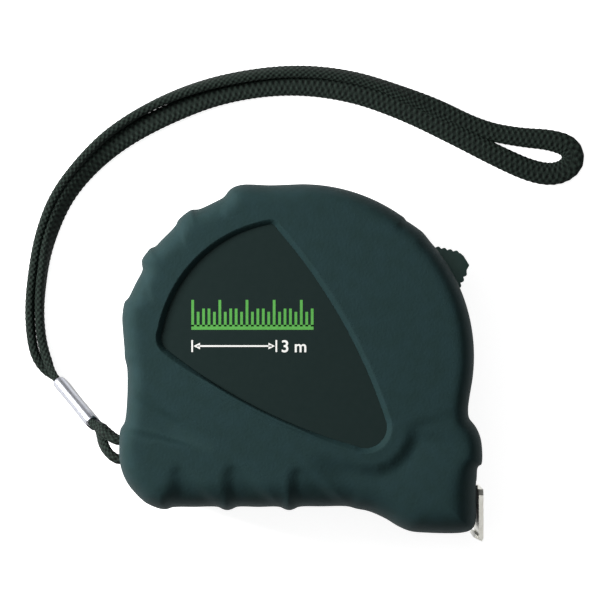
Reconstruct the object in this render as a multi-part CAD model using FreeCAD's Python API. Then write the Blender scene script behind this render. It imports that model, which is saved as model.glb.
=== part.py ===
import FreeCAD, Part
import math
import os

# A 3 m pocket tape measure lying on its rear side.  Millimetres.  +Z is the
# thickness, +X points to the mouth, +Y is the top of the case.  Z = 0 is the
# table, and the case halves meet at half the thickness.

os.makedirs("parts", exist_ok=True)
V = FreeCAD.Vector
UP = V(0, 0, 1)

# ---- overall sizes -------------------------------------------------------
CASE_T = 34.0          # thickness over the rubber
DOME_R = 32.0          # right and top of the case, about the reel axis
REEL_X = 0.2           # reel axis
REEL_Y = 1.3
GRIP_SET = 0.9         # the grip side's radius is this much less, about its own centre
GRIP_PAD = 1.3         # extra rubber under the grip pads
GRIP_X = -3.2
GRIP_Y = 3.3
HEEL_R = 8.5           # lower left corner
BOTTOM_Y = -27.0       # underside
NOSE_BOTTOM_Y = -32.1  # underside of the mouth
NOSE_X = 33.1          # front of the mouth
VISOR_X = 33.9         # front of the ledge over the mouth
JACKET_T = 1.4         # rubber
SHELL_T = 1.3          # moulded shell
EDGE_R = 4.4           # rounding of the rubber's rim
SHELL_EDGE_R = 3.2     # rounding of the shell's rim, outside
CAVITY_EDGE_R = 2.0    # and inside
NOSE_R = 3.2           # lower front corner of the mouth
FLUTE_R = 9.0          # finger flutes on the lower side
FLUTE_DEPTH = 0.6

# ---- mechanism -----------------------------------------------------------
BLADE_W = 16.0
BLADE_T = 0.25
BLADE_SECTION_R = 17.0  # cross curve of the blade
BLADE_MOUTH_Y = -24.9   # lowest line of the blade in the mouth
COIL_R = 25.0           # wound blade, outside
COIL_TURNS = 11
DRUM_R = 20.5
DRUM_WALL = 1.2
ARBOR_R = 3.0
SPRING_TURNS = 13
SPRING_T = 0.35
HOOK_T = 0.88
HOOK_W = 15.0
HOOK_DROP = 9.85
HOOK_PLAY = 0.8
LOCK_LOW = 24.0         # degrees about the reel axis
LOCK_HIGH = 47.4
LOCK_TRAVEL = 5.5
LOCK_W = 13.2
SCREW_R = 1.2
CORD_D = 1.9            # the flat braid's thickness
CRIMP_L = 13.2

# ---- fits ----------------------------------------------------------------
RUN_FIT = 0.05          # radial, turning pieces
SLIDE_FIT = 0.1         # sliding pieces
LOOSE = 0.3             # pieces that pass each other

GRIP_R = DOME_R - GRIP_SET
MID = CASE_T / 2
FRONT = CASE_T - JACKET_T
SHELL_IN = FRONT - SHELL_T
BLADE_Z0 = MID - BLADE_W / 2
BLADE_Z1 = MID + BLADE_W / 2
AXIS = V(REEL_X, REEL_Y, 0)
CAVITY = JACKET_T + SHELL_T


def box(x0, x1, y0, y1, z0, z1):
    return Part.makeBox(x1 - x0, y1 - y0, z1 - z0, V(x0, y0, z0))


def cyl(r, z0, z1, x=REEL_X, y=REEL_Y):
    return Part.makeCylinder(r, z1 - z0, V(x, y, z0))


def tube(r0, r1, z0, z1, x=REEL_X, y=REEL_Y):
    return cyl(r1, z0, z1, x, y).cut(cyl(r0, z0, z1, x, y))


def polar(r, deg):
    a = math.radians(deg)
    return V(REEL_X + r * math.cos(a), REEL_Y + r * math.sin(a), 0)


def sector(r0, r1, a0, a1, half_w):
    """A piece of a ring about the reel axis, centred on the parting plane."""
    am = (a0 + a1) / 2
    edges = [
        Part.Arc(polar(r1, a0), polar(r1, am), polar(r1, a1)).toShape(),
        Part.makeLine(polar(r1, a1), polar(r0, a1)),
        Part.Arc(polar(r0, a1), polar(r0, am), polar(r0, a0)).toShape(),
        Part.makeLine(polar(r0, a0), polar(r1, a0)),
    ]
    face = Part.Face(Part.Wire(edges))
    solid = face.extrude(V(0, 0, 2 * half_w))
    solid.translate(V(0, 0, MID - half_w))
    return solid


def polygon(points, z0, z1):
    wire = Part.makePolygon([V(x, y, z0) for x, y in points + points[:1]])
    return Part.Face(wire).extrude(V(0, 0, z1 - z0))


def mirror(shape):
    return shape.mirror(V(0, 0, MID), UP)


def one(shape):
    """The single solid of a result, with its split faces joined."""
    shape = shape.removeSplitter()
    return max(shape.Solids, key=lambda s: s.Volume)


def put(name, *solids):
    shape = solids[0] if len(solids) == 1 else Part.makeCompound(list(solids))
    shape.exportStep("parts/" + name + ".step")
    box_ = shape.BoundBox
    print(f"{name:18s} {shape.Volume:9.1f} mm3  x {box_.XMin:6.1f} {box_.XMax:6.1f}"
          f"  y {box_.YMin:6.1f} {box_.YMax:6.1f}  z {box_.ZMin:5.1f} {box_.ZMax:5.1f}")


# ---- outline of the case -------------------------------------------------
def arc(cx, cy, r, a0, a1):
    pts = []
    for a in (a0, (a0 + a1) / 2, a1):
        t = math.radians(a)
        pts.append(V(cx + r * math.cos(t), cy + r * math.sin(t), 0))
    return Part.Arc(*pts).toShape(), pts[0], pts[-1]


def case_outline(grip_r):
    """Dome, flat top, grip side, heel, underside, S-shaped step, nose, visor."""
    top_y = REEL_Y + DOME_R
    grip_a = 180 - math.degrees(math.asin((top_y - GRIP_Y) / max(grip_r, top_y - GRIP_Y)))
    heel_y = BOTTOM_Y + HEEL_R
    left_x = GRIP_X - grip_r
    step_x0 = 7.2
    step_x1 = 22.0
    drop = BOTTOM_Y - NOSE_BOTTOM_Y
    turn = 2 * math.degrees(math.atan(drop / (step_x1 - step_x0)))
    step_r = (step_x1 - step_x0) / (2 * math.sin(math.radians(turn)))
    edges = []
    dome, d0, d1 = arc(REEL_X, REEL_Y, DOME_R, -19, 90)
    grip, g0, g1 = arc(GRIP_X, GRIP_Y, grip_r, grip_a, 180)
    heel, h0, h1 = arc(left_x + HEEL_R, heel_y, HEEL_R, 180, 270)
    s1, a0, a1 = arc(step_x0, BOTTOM_Y - step_r, step_r, 90, 90 - turn)
    s2, b0, b1 = arc(step_x1, NOSE_BOTTOM_Y + step_r, step_r, 270 - turn, 270)
    nose, n0, n1 = arc(NOSE_X - NOSE_R, NOSE_BOTTOM_Y + NOSE_R, NOSE_R, 270, 360)
    corners = [V(NOSE_X, -19.4, 0), V(VISOR_X, -18.9, 0), V(VISOR_X, -13.9, 0)]
    edges += [dome, Part.makeLine(d1, g0), grip, Part.makeLine(g1, h0), heel]
    edges += [Part.makeLine(h1, a0), s1]
    if (a1 - b0).Length > 1e-6:
        edges.append(Part.makeLine(a1, b0))
    edges += [s2, Part.makeLine(b1, n0), nose, Part.makeLine(n1, corners[0])]
    edges += [Part.makeLine(corners[0], corners[1]), Part.makeLine(corners[1], corners[2])]
    edges.append(Part.makeLine(corners[2], d0))
    return Part.Wire(edges)


OUTLINE = case_outline(GRIP_R)
SHELL_LINE = case_outline(GRIP_R - GRIP_PAD)


def slab(inset, z0, z1):
    wire = OUTLINE if not inset else SHELL_LINE.makeOffset2D(-inset, 2)
    solid = Part.Face(wire).extrude(V(0, 0, z1 - z0))
    solid.translate(V(0, 0, z0))
    return solid


def rim_rounded(solid, z, r):
    """Rounds the edges that lie at height z, or bevels them if that can't be done."""
    edges = [e for e in solid.Edges if e.BoundBox.ZMin > z - 1e-3]
    try:
        done = solid.makeFillet(r, edges)
        if done.isValid():
            return done
    except Exception:
        pass
    print("rim bevelled", r)
    return solid.makeChamfer(r * 0.6, edges)


def label_outline(inset=0.0):
    """A leaf with its tip at the top, a round lower right end and a left point."""
    tip0, tip1 = V(-5.6, 26.0, 0), V(-4.5, 25.2, 0)
    low0, low1 = V(16.0, -11.1, 0), V(10.3, -15.3, 0)
    left0, left1 = V(-24.6, 2.4, 0), V(-25.8, 6.2, 0)
    edges = [
        Part.Arc(tip1, V(8.0, 7.4, 0), low0).toShape(),
        Part.Arc(low0, V(15.0, -14.4, 0), low1).toShape(),
        Part.Arc(low1, V(-6.4, -9.0, 0), left0).toShape(),
        Part.Arc(left0, V(-26.0, 4.3, 0), left1).toShape(),
        Part.Arc(left1, V(-18.9, 19.2, 0), tip0).toShape(),
        Part.Arc(tip0, V(-5.0, 25.8, 0), tip1).toShape(),
    ]
    wire = Part.Wire(edges)
    return wire.makeOffset2D(-inset, 0) if inset else wire


def label_slab(inset, z0, z1):
    solid = Part.Face(label_outline(inset)).extrude(V(0, 0, z1 - z0))
    solid.translate(V(0, 0, z0))
    return solid


# ---- openings shared by the rubber and the shells ------------------------
MOUTH = box(NOSE_X - 5.3, NOSE_X + 3, -26.5, -22.0, BLADE_Z0 - 1, BLADE_Z1 + 1)
STRAP_Y = -16.7
LEFT_X = GRIP_X - GRIP_R
STRAP_HOLE = box(LEFT_X - 1.7, LEFT_X + 4.3, STRAP_Y - 3.8, STRAP_Y + 3.8, MID - 3.5, MID + 3.5)
PIN_X = LEFT_X + 5.1
SHELL_R = DOME_R - JACKET_T
STEM_A0 = 30.0
STEM_A1 = 41.0
LOCK_HOLE = sector(SHELL_R - 2, SHELL_R + 1, STEM_A0 - 0.6, STEM_A1 + LOCK_TRAVEL + 0.6, 3.0)
LOCK_GAP = sector(SHELL_R - 0.5, DOME_R + 2, LOCK_LOW - 0.6,
                  LOCK_HIGH + LOCK_TRAVEL + 0.4, LOCK_W / 2 + LOOSE)
SCREWS = [(LEFT_X + 10.3, 15.2), (LEFT_X + 9.9, BOTTOM_Y + 5.6), (NOSE_X - 7.8, NOSE_BOTTOM_Y + 3.4)]
BOSS_R = 2.4
HEAD_R = 2.1
HEAD_Z = 3.2
SEAT_Z = 5.0


def shell_outside(z0):
    return rim_rounded(slab(JACKET_T, z0, FRONT), FRONT, SHELL_EDGE_R)


def front_jacket():
    body = rim_rounded(slab(0, MID, CASE_T), CASE_T, EDGE_R)
    core = shell_outside(MID - 1)
    body = body.cut(core).cut(label_slab(0, FRONT - 1, CASE_T + 1))
    # Finger scallops between the grip pads, and the long one over the heel.
    for turn in (116.6, 136.4, 156.6):
        a = math.radians(turn)
        r = GRIP_R + 4.3
        body = body.cut(cyl(5.0, 0, CASE_T + 1, GRIP_X + r * math.cos(a), GRIP_Y + r * math.sin(a)))
    body = body.cut(cyl(10.0, 0, CASE_T + 1, LEFT_X - 8.6, -5.9))
    # Shallow finger flutes on the lower side.
    for x in (-17.5, -8.0, 4.0):
        start = V(x - 1.5, BOTTOM_Y - 6.5, CASE_T + FLUTE_R - FLUTE_DEPTH)
        body = body.cut(Part.makeCylinder(FLUTE_R, 13, start, V(0.42, 1, 0)))
    return one(body.cut(MOUTH).cut(STRAP_HOLE).cut(LOCK_GAP))


def front_shell():
    outer = shell_outside(MID)
    body = outer.cut(rim_rounded(slab(CAVITY, MID - 1, SHELL_IN), SHELL_IN, CAVITY_EDGE_R))
    block = box(NOSE_X - 13.6, NOSE_X + 7, NOSE_BOTTOM_Y - 4, -26.5, MID, SHELL_IN)
    body = body.fuse(block.common(outer))
    for x, y in SCREWS[:2]:
        body = body.fuse(cyl(BOSS_R, MID, SHELL_IN, x, y).common(outer))
    body = body.fuse(tube(ARBOR_R + RUN_FIT, ARBOR_R + 1.3, SHELL_IN - 2.5, SHELL_IN))
    body = body.fuse(cyl(2.4, MID + 3.6, SHELL_IN, PIN_X, STRAP_Y).common(outer))
    body = body.cut(cyl(1.0 + RUN_FIT, MID - 9, MID + 8, PIN_X, STRAP_Y))
    for x, y in SCREWS:
        body = body.cut(cyl(SCREW_R + RUN_FIT, MID - 1, MID + 8.5, x, y))
    return one(body.cut(MOUTH).cut(STRAP_HOLE).cut(LOCK_HOLE))


def with_screw_holes(shell):
    for x, y in SCREWS:
        shell = shell.cut(cyl(SCREW_R + RUN_FIT + 0.1, 0, MID + 1, x, y))
        shell = shell.cut(cyl(HEAD_R + 0.2, 0, SEAT_Z, x, y))
    return one(shell)


jacket = front_jacket()
shell = front_shell()
rear_jacket = mirror(jacket)
for x, y in SCREWS:
    rear_jacket = rear_jacket.cut(cyl(HEAD_R + 0.5, -1, SEAT_Z, x, y))
put("front_jacket", jacket)
put("rear_jacket", one(rear_jacket))
put("front_shell", shell)
put("rear_shell", with_screw_holes(mirror(shell)))

LABEL_T = 0.4
label = label_slab(0.15, FRONT, FRONT + LABEL_T)
put("front_label", label)
put("rear_label", mirror(label))


# ---- screws --------------------------------------------------------------
def screw(x, y):
    body = cyl(HEAD_R, HEAD_Z, SEAT_Z, x, y).fuse(cyl(SCREW_R, SEAT_Z, MID + 8, x, y))
    for turn in (0, 90):
        slot = box(x - 1.2, x + 1.2, y - 0.25, y + 0.25, HEAD_Z - 1, HEAD_Z + 0.9)
        slot.rotate(V(x, y, 0), UP, turn)
        body = body.cut(slot)
    return one(body)


put("case_screws", *[screw(x, y) for x, y in SCREWS])

# ---- arbor, reel and springs ---------------------------------------------
Z_LOW = CASE_T - SHELL_IN
arbor = cyl(ARBOR_R, Z_LOW, SHELL_IN)
arbor = arbor.cut(box(REEL_X - 0.35, REEL_X + 0.35, REEL_Y - 4, REEL_Y - 0.8, MID - 8, MID + 8))
put("arbor", one(arbor))

FLANGE_R = COIL_R - 0.4
DRUM_Z0 = BLADE_Z0 - 1.0
DRUM_Z1 = BLADE_Z1 + 1.0
HUB_R = ARBOR_R + 1.4
drum = cyl(FLANGE_R, DRUM_Z0, DRUM_Z0 + 0.8).fuse(cyl(HUB_R, Z_LOW + 2.9, DRUM_Z0))
drum = drum.fuse(tube(DRUM_R - DRUM_WALL, DRUM_R, DRUM_Z0, DRUM_Z1 - 0.8))
drum = drum.cut(cyl(ARBOR_R + RUN_FIT, 0, CASE_T))
put("reel_drum", one(drum))
lid = cyl(FLANGE_R, DRUM_Z1 - 0.8, DRUM_Z1).fuse(cyl(HUB_R, DRUM_Z1, SHELL_IN - 2.9))
lid = lid.fuse(tube(DRUM_R - DRUM_WALL - 1.1, DRUM_R - DRUM_WALL - RUN_FIT, DRUM_Z1 - 2.0, DRUM_Z1 - 0.8))
put("reel_lid", one(lid.cut(cyl(ARBOR_R + RUN_FIT, 0, CASE_T))))


def spiral(r_out, r_in, turns, thick, z0, z1):
    """A strip wound in half circles about two centres, its outer end at the bottom."""
    count = 2 * turns
    step = (r_out - r_in) / (count - 1)
    outer, inner = [], []
    for k in range(count):
        r = r_out - (count - 1 - k) * step
        # Even half turns rise on the right, odd ones fall on the left.
        rising = k % 2 == 0
        cy = REEL_Y + (step if rising else 0)
        side = 1 if rising else -1
        start, end = V(REEL_X, cy - side * r, 0), V(REEL_X, cy + side * r, 0)
        outer.append(Part.Arc(start, V(REEL_X + side * r, cy, 0), end).toShape())
        q = r - thick
        start, end = V(REEL_X, cy - side * q, 0), V(REEL_X, cy + side * q, 0)
        inner.append(Part.Arc(start, V(REEL_X + side * q, cy, 0), end).toShape())
    a, b = outer[0].Vertexes, inner[0].Vertexes
    low = min(a, key=lambda v: v.Point.y).Point
    low_in = min(b, key=lambda v: v.Point.y).Point
    last = min(outer[-1].Vertexes, key=lambda v: v.Point.y).Point
    last_in = min(inner[-1].Vertexes, key=lambda v: v.Point.y).Point
    edges = outer + [Part.makeLine(last, last_in)] + inner[::-1] + [Part.makeLine(low_in, low)]
    face = Part.Face(Part.Wire(Part.__sortEdges__(edges)))
    strip = face.extrude(V(0, 0, z1 - z0))
    strip.translate(V(0, 0, z0))
    return strip, low


coil, _ = spiral(COIL_R, DRUM_R + 0.5, COIL_TURNS, BLADE_T, BLADE_Z0, BLADE_Z1)
put("blade_coil", coil)
SPRING_R = DRUM_R - DRUM_WALL - 1.4
spring, low = spiral(SPRING_R, ARBOR_R + 1.0, SPRING_TURNS, SPRING_T, MID - 6.5, MID + 6.5)
tab = box(REEL_X - SPRING_T / 2, REEL_X + SPRING_T / 2, low.y, REEL_Y - 1.2, MID - 6.5, MID + 6.5)
put("mainspring", one(spring.fuse(tab)))
stud_y = REEL_Y - SPRING_R
stud = box(REEL_X, REEL_X + 1.4, stud_y - 1.6, stud_y + 1.0, MID - 5, MID + 5)
put("spring_anchor", one(stud.common(cyl(DRUM_R - DRUM_WALL - RUN_FIT, 0, CASE_T))))


# ---- blade ---------------------------------------------------------------
def blade_section(x, low_y, r, thick, half_w=BLADE_W / 2):
    """The blade's curved cross section at x, open towards the reel."""
    wires = []
    cy = low_y + r
    a = math.asin(half_w / r)
    pts = []
    for q, side in ((r, 1), (r - thick, -1)):
        for t in (-side * a, 0, side * a):
            pts.append(V(x, cy - q * math.cos(t), MID + q * math.sin(t)))
    wires.append(Part.Arc(*pts[:3]).toShape())
    wires.append(Part.makeLine(pts[2], pts[3]))
    wires.append(Part.Arc(*pts[3:]).toShape())
    wires.append(Part.makeLine(pts[5], pts[0]))
    return Part.Wire(wires)


TIP_X = NOSE_X - 9.5
LEAD_END = TIP_X
flat = blade_section(REEL_X, REEL_Y - COIL_R, 900.0, BLADE_T)
curved = blade_section(LEAD_END, BLADE_MOUTH_Y, BLADE_SECTION_R, BLADE_T)
lead = Part.makeLoft([flat, curved], True, True)
lead = lead.cut(cyl(COIL_R + 0.02, 0, CASE_T))
put("blade_lead", one(lead))
BLADE_END = NOSE_X - 0.4
tip = Part.Face(curved).extrude(V(BLADE_END - LEAD_END, 0, 0))
CURVE_Y = BLADE_MOUTH_Y + BLADE_SECTION_R


def across(r, x, z, y0, y1):
    return Part.makeCylinder(r, y1 - y0, V(x, y0, z), V(0, 1, 0))


def along(r, x0, x1):
    return Part.makeCylinder(r, x1 - x0, V(x0, CURVE_Y, MID), V(1, 0, 0))


# Three rivets hold the hook; its slots let it move by its own thickness.
RIVETS = [(BLADE_END - 1.9, 0.0), (BLADE_END - 4.6, -2.6), (BLADE_END - 4.6, 2.6)]
RIVET_R = 0.8
INNER_R = BLADE_SECTION_R - BLADE_T
FLANGE_OUT = INNER_R - RUN_FIT
FLANGE_IN = FLANGE_OUT - HOOK_T
for x, dz in RIVETS:
    tip = tip.cut(across(RIVET_R + 0.02, x, MID + dz, -30, -20))
put("blade_tip", one(tip))


def rivet(x, dz):
    """A shank through blade and hook, with a flat head over the hook and one under the blade."""
    body = across(RIVET_R, x, MID + dz, -27, -20)
    head = across(RIVET_R + 0.85, x, MID + dz, -27, -20)
    shank = body.common(along(BLADE_SECTION_R, 0, 60)).cut(along(FLANGE_IN - 0.06, 0, 60))
    top = head.common(along(FLANGE_IN - 0.05, 0, 60)).cut(along(FLANGE_IN - 0.45, 0, 60))
    foot = head.common(along(BLADE_SECTION_R + 0.12, 0, 60)).cut(along(BLADE_SECTION_R, 0, 60))
    return one(shank.fuse(top).fuse(foot))


put("hook_rivets", *[rivet(x, dz) for x, dz in RIVETS])

# ---- end hook ------------------------------------------------------------
HOOK_X0 = NOSE_X + 0.2
HOOK_X1 = HOOK_X0 + HOOK_T
FLANGE_X0 = BLADE_END - 6.9
top_y = CURVE_Y - FLANGE_IN
hook = along(FLANGE_OUT, FLANGE_X0, HOOK_X0).cut(along(FLANGE_IN, FLANGE_X0, HOOK_X0))
hook = hook.common(box(FLANGE_X0, HOOK_X0, -30, -18, MID - 4.5, MID + 4.5))
for x, dz in RIVETS:
    slot = across(RIVET_R + 0.05, x - HOOK_PLAY, MID + dz, -30, -18)
    slot = slot.fuse(across(RIVET_R + 0.05, x, MID + dz, -30, -18))
    slot = slot.fuse(box(x - HOOK_PLAY, x, -30, -18, MID + dz - RIVET_R - 0.05, MID + dz + RIVET_R + 0.05))
    hook = hook.cut(slot)
plate_low = top_y - HOOK_DROP
plate = box(HOOK_X0, HOOK_X1, plate_low + 0.6, top_y, MID - HOOK_W / 2, MID + HOOK_W / 2)
plate = plate.common(
    Part.makeCylinder(HOOK_W / 2 + 1.2, 10, V(HOOK_X0 - 5, top_y - 5.5, MID), V(1, 0, 0))
)
neck = box(HOOK_X0 - 0.01, HOOK_X1, top_y - HOOK_T, top_y, MID - 4.5, MID + 4.5)
neck = neck.common(along(FLANGE_OUT, HOOK_X0 - 1, HOOK_X1 + 1))
lip = Part.Face(Part.makePolygon([
    V(HOOK_X1, plate_low + 0.6, 0), V(HOOK_X1 - 0.15, plate_low, 0), V(HOOK_X1 - 1.7, plate_low + 0.7, 0),
    V(HOOK_X1 - 1.4, plate_low + 1.4, 0), V(HOOK_X0, plate_low + 1.0, 0), V(HOOK_X1, plate_low + 1.0, 0),
    V(HOOK_X1, plate_low + 0.6, 0)])).extrude(V(0, 0, HOOK_W - 3))
lip.translate(V(0, 0, MID - (HOOK_W - 3) / 2))
hook = one(hook.fuse(plate).fuse(neck).fuse(lip))
put("end_hook", hook)

# ---- guide in the mouth --------------------------------------------------
guide = box(NOSE_X - 5.2, NOSE_X - 0.1, -26.45, -22.9, BLADE_Z0 - 0.9, BLADE_Z1 + 0.9)
guide = guide.cut(along(BLADE_SECTION_R + 0.2, NOSE_X - 8, NOSE_X + 2))
guide = guide.cut(box(NOSE_X - 8, NOSE_X + 2, -25, -20, BLADE_Z0 - LOOSE, BLADE_Z1 + LOOSE))
put("blade_guide", one(guide))

# ---- lock ----------------------------------------------------------------
PAD_X0 = NOSE_X - 12.5
PAD_X1 = NOSE_X - 7.9
PAD_TOP = BLADE_MOUTH_Y + 3.4
ARM_R1 = SHELL_R - SHELL_T - 0.6
ARM_R0 = ARM_R1 - 1.5
arm = sector(ARM_R0, ARM_R1, -22, 60, 7.0)
arm = arm.fuse(sector(ARM_R1 - 0.5, SHELL_R + 0.6, STEM_A0, STEM_A1, 2.5))
ARM_LINE = ARM_R1 - 0.4
limb = [polar(ARM_R0 + 0.2, -19.0), polar(ARM_LINE, -19.0), polar(ARM_LINE, -23.0)]
limb = [(p.x, p.y) for p in limb] + [(PAD_X1, PAD_TOP), (PAD_X0 + 0.6, PAD_TOP)]
limb = polygon(limb, MID - 6, MID + 6)
put("lock_arm", one(arm.fuse(limb)))
pad = box(PAD_X0, PAD_X1, PAD_TOP - 1.9, PAD_TOP, MID - 5, MID + 5)
put("brake_pad", pad)

slider = sector(SHELL_R + SLIDE_FIT, DOME_R, LOCK_LOW, LOCK_HIGH, LOCK_W / 2)
slider = slider.cut(sector(SHELL_R, SHELL_R + 0.65, STEM_A0 - 0.2, STEM_A1 + 0.2, 2.6))
peak = polar(DOME_R + 3.4, 30.5)
foot0 = polar(DOME_R - 0.1, LOCK_LOW + 0.4)
foot1 = polar(DOME_R - 0.1, 40.5)
shoulder = polar(DOME_R + 2.6, 27.6)
wedge = polygon([(p.x, p.y) for p in (foot0, shoulder, peak, foot1)], MID - LOCK_W / 2, MID + LOCK_W / 2)
wedge = wedge.cut(cyl(DOME_R - 0.1, 0, CASE_T))
# Grip ribs across the upper slope.
for i in range(4):
    rib = polar(DOME_R + 2.9 - 0.62 * i, 32.0 + 1.9 * i)
    wedge = wedge.fuse(cyl(0.45, MID - LOCK_W / 2 + 1, MID + LOCK_W / 2 - 1, rib.x, rib.y))
put("lock_button", one(slider.fuse(wedge)))

leaf = sector(ARM_R0 - 0.3, ARM_R0 - 0.05, 44, 66, 3.0)
leaf = leaf.fuse(sector(ARM_R0 - 0.3, ARM_R0, 44, 47, 3.0))
leaf = leaf.fuse(sector(ARM_R0 - 0.3, ARM_R1 + 0.2, 65, 66, 3.0))
put("detent_spring", one(leaf))

# ---- strap ---------------------------------------------------------------
PIN_R = 1.0
put("strap_pin", cyl(PIN_R, MID - 7.9, MID + 7.9, PIN_X, STRAP_Y))

CRIMP_W = 2.5
CRIMP_H = 4.4
crimp_a = V(-40.1, -11.6, 11.2)
crimp_b = V(-47.6, -3.6, 4.0)
crimp_dir = (crimp_b - crimp_a).normalize()
crimp_side = crimp_dir.cross(UP).normalize()
crimp_up = crimp_side.cross(crimp_dir).normalize()
crimp_b = crimp_a + crimp_dir * CRIMP_L


def crimp_point(end, side, up):
    return end + crimp_side * side + crimp_up * up


def crimp():
    """A flattened tube: two half rounds joined by flats."""
    h = (CRIMP_H - CRIMP_W) / 2
    r = CRIMP_W / 2
    p = [crimp_point(crimp_a, s, u) for s, u in
         ((r, -h), (r, h), (0, h + r), (-r, h), (-r, -h), (0, -h - r))]
    wire = Part.Wire([
        Part.makeLine(p[0], p[1]), Part.Arc(p[1], p[2], p[3]).toShape(),
        Part.makeLine(p[3], p[4]), Part.Arc(p[4], p[5], p[0]).toShape()])
    return Part.Face(wire).extrude(crimp_dir * CRIMP_L)


put("strap_crimp", crimp())


def cord(name, points, loop_note):
    """A round tube along straight runs joined by tangent arcs."""
    edges = []
    here = points[0]
    radii = []
    for i in range(1, len(points) - 1):
        a, b, c = points[i - 1], points[i], points[i + 1]
        d0 = (b - a).normalize()
        d1 = (c - b).normalize()
        half = d0.getAngle(d1) / 2
        cut = 0.45 * min((b - a).Length, (c - b).Length)
        r = cut / math.tan(half)
        radii.append(r)
        start, end = b - d0 * cut, b + d1 * cut
        middle = b + (d1 - d0).normalize() * (r / math.cos(half) - r)
        edges.append(Part.LineSegment(here, start).toShape())
        edges.append(Part.Arc(start, middle, end).toShape())
        here = end
    edges.append(Part.LineSegment(here, points[-1]).toShape())
    path = Part.Wire(edges)
    d = (points[1] - points[0]).normalize()
    ring = Part.Wire([Part.Circle(points[0], d, CORD_D / 2).toShape()])
    solid = path.makePipeShell([ring], True, False)
    if solid.Volume < 0:
        solid.reverse()
    ideal = math.pi * CORD_D ** 2 / 4 * path.Length
    print(f"{name} {loop_note}: length {path.Length:.1f} mm, least bend radius {min(radii):.1f} mm,"
          f" volume {solid.Volume:.1f} of {ideal:.1f} mm3, valid {solid.isValid()}")
    put(name, solid)


STRAND = CORD_D / 2 + 0.2
top_a = crimp_point(crimp_a, 0, STRAND)
low_a = crimp_point(crimp_a, 0, -STRAND)
top_b = crimp_point(crimp_b, 0, STRAND)
low_b = crimp_point(crimp_b, 0, -STRAND)
TAIL = [
    top_a, top_a - crimp_dir * 1.8, V(-36.9, -13.4, 15.6), V(-33.6, -14.5, 17.0), V(-27.0, -14.5, 17.0),
    V(-27.0, -18.9, 17.0), V(-33.8, -18.9, 17.0), V(-37.0, -17.3, 15.8), V(-38.6, -15.2, 13.6),
    low_a - crimp_dir * 1.8, low_a,
]
LOOP = [
    low_b, low_b + crimp_dir * 1.5, V(-50.3, -2.1, 1.9), V(-52.4, 0.6, 1.9), V(-53.3, 4.7, 1.9),
    V(-53.6, 10.6, 1.9), V(-52.8, 17.6, 1.9), V(-51.6, 24.7, 1.9), V(-48.8, 32.5, 1.9), V(-43.3, 39.7, 1.9),
    V(-37.1, 45.7, 1.9), V(-27.6, 51.3, 1.9), V(-15.8, 55.2, 1.9), V(-1.2, 57.3, 1.9), V(12.5, 55.5, 1.9),
    V(24.8, 49.9, 1.7), V(35.0, 45.2, 1.3), V(42.8, 43.8, 1.0), V(49.1, 43.6, 1.0), V(54.1, 42.0, 1.0),
    V(54.6, 37.8, 1.0), V(51.0, 35.4, 1.0), V(45.8, 36.0, 1.0), V(38.9, 39.0, 1.0), V(30.1, 43.9, 1.0),
    V(20.3, 48.9, 1.0), V(9.6, 52.8, 1.0), V(-2.5, 54.3, 1.0), V(-15.4, 52.4, 1.0), V(-26.6, 47.9, 1.0),
    V(-35.4, 43.2, 1.0), V(-41.6, 37.4, 1.0), V(-46.3, 30.6, 1.1), V(-49.0, 23.8, 1.4), V(-50.3, 15.7, 1.8),
    V(-51.1, 10.2, 1.9), V(-50.9, 5.1, 1.9), V(-50.2, 1.5, 2.4), top_b + crimp_dir * 2.0, top_b,
]
cord("strap_tail", TAIL, "from the crimp round the pin and back")
cord("strap_loop", LOOP, "from the crimp round the loop and back")
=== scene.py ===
# %% [markdown]
# # A 3 m pocket tape measure
# A rubber-coated pocket tape lying on its back, with its wrist strap laid out round the top.
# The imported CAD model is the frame: it holds the case, the reel, the springs, the hook and the
# lock in their true places. This notebook puts the visible surfaces round that frame. It makes
# the camera and light first, then the strap, the rubber, the label, the lock button, the blade
# and the metal pieces. All lengths are in metres, so the helper `mm` turns millimetres into them.

# %% Load the frame
import math

import bmesh
import bpy
import numpy as np
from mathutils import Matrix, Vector


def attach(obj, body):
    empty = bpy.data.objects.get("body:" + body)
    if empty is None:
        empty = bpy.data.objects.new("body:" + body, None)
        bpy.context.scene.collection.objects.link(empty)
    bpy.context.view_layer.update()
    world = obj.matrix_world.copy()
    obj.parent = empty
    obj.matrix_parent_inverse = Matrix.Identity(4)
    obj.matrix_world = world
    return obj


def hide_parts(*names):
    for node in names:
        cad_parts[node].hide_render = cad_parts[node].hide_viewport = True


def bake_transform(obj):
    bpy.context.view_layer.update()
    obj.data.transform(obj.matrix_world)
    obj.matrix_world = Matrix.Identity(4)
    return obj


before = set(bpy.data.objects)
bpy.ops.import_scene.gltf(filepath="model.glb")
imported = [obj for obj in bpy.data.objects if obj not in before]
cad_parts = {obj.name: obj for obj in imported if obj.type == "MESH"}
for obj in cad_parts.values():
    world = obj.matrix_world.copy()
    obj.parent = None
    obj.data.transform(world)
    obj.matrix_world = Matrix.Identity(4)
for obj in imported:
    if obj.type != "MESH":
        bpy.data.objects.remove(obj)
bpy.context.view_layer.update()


def mm(*values):
    """Millimetres as metres: one number, or a point."""
    scaled = [v * 0.001 for v in values]
    return scaled[0] if len(scaled) == 1 else tuple(scaled)


def piece_from(name, bm, smooth=False, sharp_above=None):
    """Ends a bmesh as an object. With smooth, edges over sharp_above degrees stay sharp."""
    mesh = bpy.data.meshes.new(name)
    bm.to_mesh(mesh)
    bm.free()
    if smooth:
        mesh.shade_smooth()
    if sharp_above:
        mesh.set_sharp_from_angle(angle=math.radians(sharp_above))
    made = bpy.data.objects.new(name, mesh)
    bpy.context.scene.collection.objects.link(made)
    return made


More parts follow.
